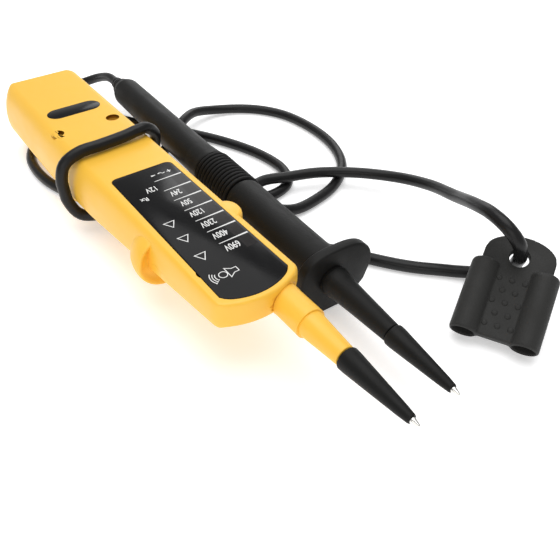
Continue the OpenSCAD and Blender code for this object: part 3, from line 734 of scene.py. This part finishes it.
def cap_profile():
    return rounded([(0.35, 2.4), (0.35, 3.55), (0.7, 3.72), (2.6, 3.66), (CAP_L - 3.2, 1.86),
                    (CAP_L - 2.8, 1.8), (CAP_L - 0.4, 1.5), (CAP_L - 0.02, 1.3),
                    (CAP_L - 0.02, CAP_BORE)], 0.5)


def rod_profile(x0, x1):
    return [(x0, 0.01), (x0, 0.99), (x1 - 2.3, 0.99), (x1 - 1.9, 0.85), (x1 - 0.5, 0.5),
            (x1 - 0.15, 0.34), (x1, 0.02)]


piece("fixed_tip_cap", *spun(cap_profile(), (CAP_X, NOSE_Y, NOSE_Z), 64, CAP_BORE), black_plastic,
      "main_cap", "black_handle", stands_for=["tip_cap"])
piece("fixed_contact", *spun(rod_profile(53, TIP_X), (0, NOSE_Y, NOSE_Z), 40), bright_nickel, "housing",
      "tip_metal", stands_for=["contact_rod"])


# ---------------------------------------------------------------- the loose probe

def on_probe(made):
    """Places (verts, faces) from the probe's own frame, whose X is its axis."""
    turn = Matrix.Rotation(math.radians(-PROBE_YAW), 4, "Z")
    verts, faces = made
    return [tuple(PROBE_AT + turn @ Vector(v)) for v in verts], faces


handle = rounded([(-HANDLE_L, 4.6), (-HANDLE_L, 6.4), (-HANDLE_L + 2.2, 7.0), (GRIP_END - 12, 7.3),
                  (GRIP_END - 4, 7.9), (GRIP_END - 1.2, 8.3), (GRIP_END - 0.4, 8.3),
                  (GRIP_END - 0.2, 7.0), (-GRIP_BACK + 0.2, 7.0), (-GRIP_BACK + 0.4, 8.1),
                  (-GRIP_BACK + 2.5, 8.25), (-40, 8.1), (-12, 8.2), (-4.05, 8.6), (-4.05, 4.6)], 0.7)
piece("probe_barrel", *on_probe(spun(handle, sides=80, bore=4.5)), black_plastic, "loose_probe",
      "black_handle", stands_for=["probe_handle"])


def row_tree(name, count, axis, sockets, thing):
    """A tree that sets copies of one thing in a row along an axis and gives them their finish."""
    tree = bpy.data.node_groups.new(name, "GeometryNodeTree")
    kinds = [(count, "Int"), ("Pitch", "Float"), *((socket, "Float") for socket in sockets),
             ("Finish", "Material")]
    for label_text, kind in kinds:
        tree.interface.new_socket(label_text, in_out="INPUT", socket_type="NodeSocket" + kind)
    tree.interface.new_socket("Geometry", in_out="OUTPUT", socket_type="NodeSocketGeometry")
    n, link = tree.nodes, tree.links.new
    given, result = n.new("NodeGroupInput"), n.new("NodeGroupOutput")
    offset = n.new("ShaderNodeCombineXYZ")
    link(given.outputs["Pitch"], offset.inputs[axis])
    row = n.new("GeometryNodeMeshLine")
    link(given.outputs[count], row.inputs["Count"])
    link(offset.outputs[0], row.inputs["Offset"])
    place = n.new("GeometryNodeInstanceOnPoints")
    link(row.outputs[0], place.inputs["Points"])
    link(thing(n, link, given, place).outputs[0], place.inputs["Instance"])
    real, paint = n.new("GeometryNodeRealizeInstances"), n.new("GeometryNodeSetMaterial")
    link(place.outputs[0], real.inputs[0])
    link(real.outputs[0], paint.inputs["Geometry"])
    link(given.outputs["Finish"], paint.inputs["Material"])
    link(paint.outputs[0], result.inputs[0])
    return tree


def rib_ring(n, link, given, place):
    """One rib of the grip: a round bead swept about the handle's axis."""
    hoop, bead = n.new("GeometryNodeCurvePrimitiveCircle"), n.new("GeometryNodeCurvePrimitiveCircle")
    for node, radius, points in ((hoop, "Rib radius", 72), (bead, "Bead radius", 14)):
        node.inputs["Resolution"].default_value = points
        link(given.outputs[radius], node.inputs["Radius"])
    sweep = n.new("GeometryNodeCurveToMesh")
    link(hoop.outputs[0], sweep.inputs["Curve"])
    link(bead.outputs[0], sweep.inputs["Profile Curve"])
    place.inputs["Rotation"].default_value = (0.0, math.radians(90), 0.0)
    return sweep


def flat_stud(n, link, given, place):
    """One stud of the tip cover: a flattened ball, half sunk in the web."""
    ball = n.new("GeometryNodeMeshUVSphere")
    ball.inputs["Segments"].default_value = 24
    ball.inputs["Rings"].default_value = 12
    link(given.outputs["Stud radius"], ball.inputs["Radius"])
    place.inputs["Scale"].default_value = (1.0, 1.0, 0.4)
    return ball


def made_by(tree, name, **values):
    """The plain mesh that a tree makes with these inputs."""
    obj = bpy.data.objects.new(name, bpy.data.meshes.new(name))
    bpy.context.scene.collection.objects.link(obj)
    maker = obj.modifiers.new("maker", "NODES")
    maker.node_group = tree
    for item in tree.interface.items_tree:
        key = item.name.replace(" ", "_").lower()
        if item.item_type == "SOCKET" and item.in_out == "INPUT" and key in values:
            maker[item.identifier] = values[key]
    return bake(obj)


rib_row = row_tree("grip_ribs", "Ribs", "X", ("Rib radius", "Bead radius"), rib_ring)
ribs = made_by(rib_row, "grip_ribs", ribs=RIBS, pitch=RIB_PITCH * MM, rib_radius=7.95 * MM,
               bead_radius=0.82 * MM, finish=ribbed_rubber)
sleeve = loose("sleeve", *spun([(GRIP_END + 0.3, 7.75), (-GRIP_BACK - 0.3, 7.75)], bore=7.1, sides=72))
ribs.data.transform(Matrix.Translation(((GRIP_END + RIB_PITCH / 2) * MM, 0, 0)))
grip_place = Matrix.Translation(PROBE_AT * MM) @ Matrix.Rotation(math.radians(-PROBE_YAW), 4, "Z")


def joined(first, *others):
    """Puts the meshes of several objects into the first."""
    work = bmesh.new()
    for obj in (first, *others):
        work.from_mesh(obj.data)
    work.to_mesh(first.data)
    work.free()
    for obj in others:
        bpy.data.objects.remove(obj)
    return first


joined(ribs, sleeve)
ribs.data.transform(grip_place)
close_up(ribs.data, 1e-7)
dressed(ribs, ribbed_rubber, "loose_probe", 50, ["probe_grip"])

outline = []
middle, half = (GUARD_HIGH - GUARD_LOW) / 2, (GUARD_HIGH + GUARD_LOW) / 2
for k in range(49):
    a = math.radians(180 * k / 48)
    reach = math.copysign(abs(math.cos(a)) ** 0.75, math.cos(a))
    outline.append((middle + half * reach, 11.4 * math.sin(a) ** 0.75))
outline += [(-GUARD_LOW, -1.0), (-5.5, -13.75), (7.0, -13.75), (14.3, -6.5)]
guard_verts, guard_faces = prism(outline, -4.0, 0.0)
guard = loose("loose_guard", [(z, x, y) for x, y, z in guard_verts], guard_faces)
softened(guard, 0.7, 3, 28)
carve(guard, loose("way", *spun([(-6, 5.0), (2, 5.0)])))
guard.data.transform(grip_place)
dressed(guard, black_plastic, "loose_probe", 40, ["probe_guard"])

shaft = rounded([(-16, PIN_BORE), (-16, 4.4), (-3.9, 4.4), (-3.9, 4.98), (0.2, 4.98), (1.2, 5.5),
                 (3.2, 5.3), (5.2, 4.85), (14, 4.2), (SHAFT_L - 0.1, 3.25), (SHAFT_L - 0.1, 2.2),
                 (SHAFT_L + 6, 2.2), (SHAFT_L + 6, PIN_BORE)], 0.5)
piece("loose_shaft", *on_probe(spun(shaft[1:-1], sides=72, bore=PIN_BORE)), black_plastic, "loose_probe",
      "black_handle", stands_for=["probe_shaft"])
piece("loose_tip_cap", *on_probe(spun(cap_profile(), (SHAFT_L, 0, 0), 64, CAP_BORE)), black_plastic,
      "loose_cap", "black_handle", stands_for=["probe_tip_cap"])
loose_tip = SHAFT_L + CAP_L + ROD_BARE
piece("loose_contact", *on_probe(spun(rod_profile(-22, loose_tip), sides=40)), bright_nickel,
      "loose_probe", "tip_metal", stands_for=["probe_rod"])


def shifted(profile, x):
    return [(x + along, radius) for along, radius in profile]


collar = rounded(shifted([(-5.5, 2.5), (-5.5, 4.3), (-4.6, 5.0), (-3.2, 5.0), (-3.0, 4.5), (-2.0, 4.6),
                          (-1.8, 5.7), (-0.2, 6.2), (-0.1, 4.4), (4, 4.4), (4, 2.5)], -HANDLE_L), 0.35)
piece("handle_collar", *on_probe(spun(collar[1:-1], sides=64, bore=2.4)), black_plastic, "loose_probe",
      "black_handle", stands_for=["probe_collar"])
relief = rounded(shifted([(-7, 2.35), (-7, 2.7), (-6.4, 3.1), (-5, 3.2), (-4.7, 2.9), (-3.9, 2.9),
                          (-3.6, 3.5), (-2.2, 3.7), (-1.9, 3.3), (-1.0, 3.3), (-0.8, 4.0), (0, 4.1),
                          (0, 2.35)], -HANDLE_L - 5.5), 0.3)
relief_piece = piece("probe_relief", *on_probe(spun(relief, sides=48, bore=2.3)), lead_vinyl,
                     "loose_probe", "lead_jacket", stands_for=["strain_relief"])

gland = rounded([(-8, 2.35), (-8, 2.8), (-7.4, 3.0), (-6.2, 3.05), (-6.0, 2.75), (-5.0, 2.8),
                 (-4.8, 3.2), (-3.6, 3.3), (-3.4, 3.0), (-2.4, 3.1), (-2.2, 3.6), (-1.2, 3.8),
                 (-1.2, 4.4), (-0.15, 4.5), (-0.1, 3.0), (1.9, 3.0), (1.9, 2.35)], 0.3)
gland_piece = piece("housing_gland", *spun(gland, (REAR_X, GLAND_Y, GLAND_Z), 48, 2.3), lead_vinyl,
                    "housing", "lead_jacket", stands_for=["lead_gland"])


# ---------------------------------------------------------------- the tip cover

def cover_frame():
    return (Matrix.Translation(COVER_AT * MM) @ Matrix.Rotation(math.radians(COVER_TURN), 4, "Z")
            @ Matrix.Rotation(math.radians(-COVER_TILT), 4, "Y"))


def tip_cover_body():
    """Two sockets joined by a web with a holed tab: melted into one soft rubber body."""
    parts = []
    for s in (-1, 1):
        socket = rounded([(0.0, 0.01), (0.0, 4.25), (0.5, SOCKET_R), (25.6, SOCKET_R), (26.5, 3.9),
                          (26.5, 0.01)], 0.8)
        parts.append(loose("socket", *spun(socket, (0, s * SOCKET_Y, 0), 64)))
    web = [(0.4, -SOCKET_Y), (29, -SOCKET_Y), (29, SOCKET_Y), (0.4, SOCKET_Y)]
    parts.append(loose("web", *prism(web, -1.5, 1.5)))
    tab = [(23, -11.5), (31, -11.5)]
    for k in range(15):
        a = math.radians(-70 + 140 * k / 14)
        tab.append((31 + 7 * math.cos(a), 11.5 * math.sin(a)))
    tab += [(31, 11.5), (23, 11.5)]
    parts.append(loose("tab", *prism(tab, -1.5, 1.5)))
    body = joined(*parts)
    melt = body.modifiers.new("melt", "REMESH")
    melt.mode, melt.voxel_size = "VOXEL", 0.34 * MM
    settle = body.modifiers.new("settle", "SMOOTH")
    settle.factor, settle.iterations = 0.5, 6
    bake(body)
    for s in (-1, 1):
        bore = rounded([(-1, 4.1), (0.0, 3.9), (0.6, 3.6), (24, 3.6)], 0.3)
        carve(body, loose("bore", *spun(bore, (0, s * SOCKET_Y, 0), 48)))
    hole = [(-3, 4.2), (-1.6, 3.5), (-1.0, 3.2), (1.0, 3.2), (1.6, 3.5), (3, 4.2)]
    carve(body, standing(loose("hole", *spun(hole, sides=48)), 30))
    return body


cover = tip_cover_body()
stud_row = row_tree("cover_studs", "Studs", "Y", ("Stud radius",), flat_stud)
rows = []
for i in range(5):
    count = 3 if i % 2 == 0 else 2
    row = made_by(stud_row, "stud_row", studs=count, pitch=STUD_PITCH * MM, stud_radius=1.0 * MM,
                  finish=cover_rubber)
    row.data.transform(Matrix.Translation(((4.8 + STUD_PITCH * i) * MM,
                                           -STUD_PITCH * (count - 1) / 2 * MM, 1.52 * MM)))
    rows.append(row)
studs = joined(*rows)
for obj in (cover, studs):
    obj.data.transform(cover_frame())
close_up(cover.data, 1e-7)
cover.name, studs.name = "tip_cover_rubber", "tip_cover_studs"
dressed(cover, cover_rubber, "cover", 45, ["tip_cover"])
dressed(studs, cover_rubber, "cover", 45)


# ---------------------------------------------------------------- pieces carried over from the CAD

CARRIED = {
    "battery_door": yellow_plastic, "circuit_board": solder_mask, "board_chips": chip_epoxy,
    "sounder": chip_epoxy, "input_resistors": lacquer, "probe_resistor": lacquer,
    "battery_cells": cell_foil, "battery_contacts": spring_steel, "case_screws": spring_steel,
    "probe_wires": spring_steel, "leds": clear_epoxy, "light_guides": red_lens}
for name, mat in CARRIED.items():
    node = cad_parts[name]
    node.data.materials.clear()
    node.data.materials.append(mat)


# ---------------------------------------------------------------- floor, light and air

def table_top():
    mat = bpy.data.materials.new("pale_floor")
    mat.use_nodes = True
    shader = mat.node_tree.nodes["Principled BSDF"]
    shader.inputs["Base Color"].default_value = (0.93, 0.93, 0.935, 1)
    shader.inputs["Roughness"].default_value = 0.75
    shader.inputs["Specular IOR Level"].default_value = 0.1
    shader.inputs["Emission Color"].default_value = (1, 1, 1, 1)
    shader.inputs["Emission Strength"].default_value = 0.38
    mesh = bpy.data.meshes.new("floor")
    mesh.from_pydata([(-6, -6, 0), (6, -6, 0), (6, 6, 0), (-6, 6, 0)], [], [(0, 1, 2, 3)])
    mesh.materials.append(mat)
    floor = bpy.data.objects.new("floor", mesh)
    bpy.context.scene.collection.objects.link(floor)


def softbox(name, place, aim, size, power, colour=(1, 1, 1)):
    light = bpy.data.lights.new(name, "AREA")
    light.shape, light.energy, light.color = "RECTANGLE", power, colour
    light.size, light.size_y = size
    lamp = bpy.data.objects.new(name, light)
    lamp.location = place
    lamp.rotation_euler = (Vector(aim) - Vector(place)).to_track_quat("-Z", "Y").to_euler()
    bpy.context.scene.collection.objects.link(lamp)


table_top()
softbox("overhead", (-0.1, 0.1, 0.95), (0, 0, 0), (1.0, 1.0), 7.0)
softbox("from_behind", (-0.7, 0.55, 0.45), (0, 0, 0), (0.6, 0.4), 1.6)
softbox("front_fill", (0.5, -0.6, 0.35), (0, 0, 0), (0.7, 0.5), 1.4, (1.0, 0.97, 0.93))
world = bpy.data.worlds.new("studio")
bpy.context.scene.world = world
world.use_nodes = True
world.node_tree.nodes["Background"].inputs["Color"].default_value = (1, 1, 1, 1)
world.node_tree.nodes["Background"].inputs["Strength"].default_value = 0.45
bpy.context.scene.view_settings.view_transform = "Standard"

bpy.context.view_layer.update()
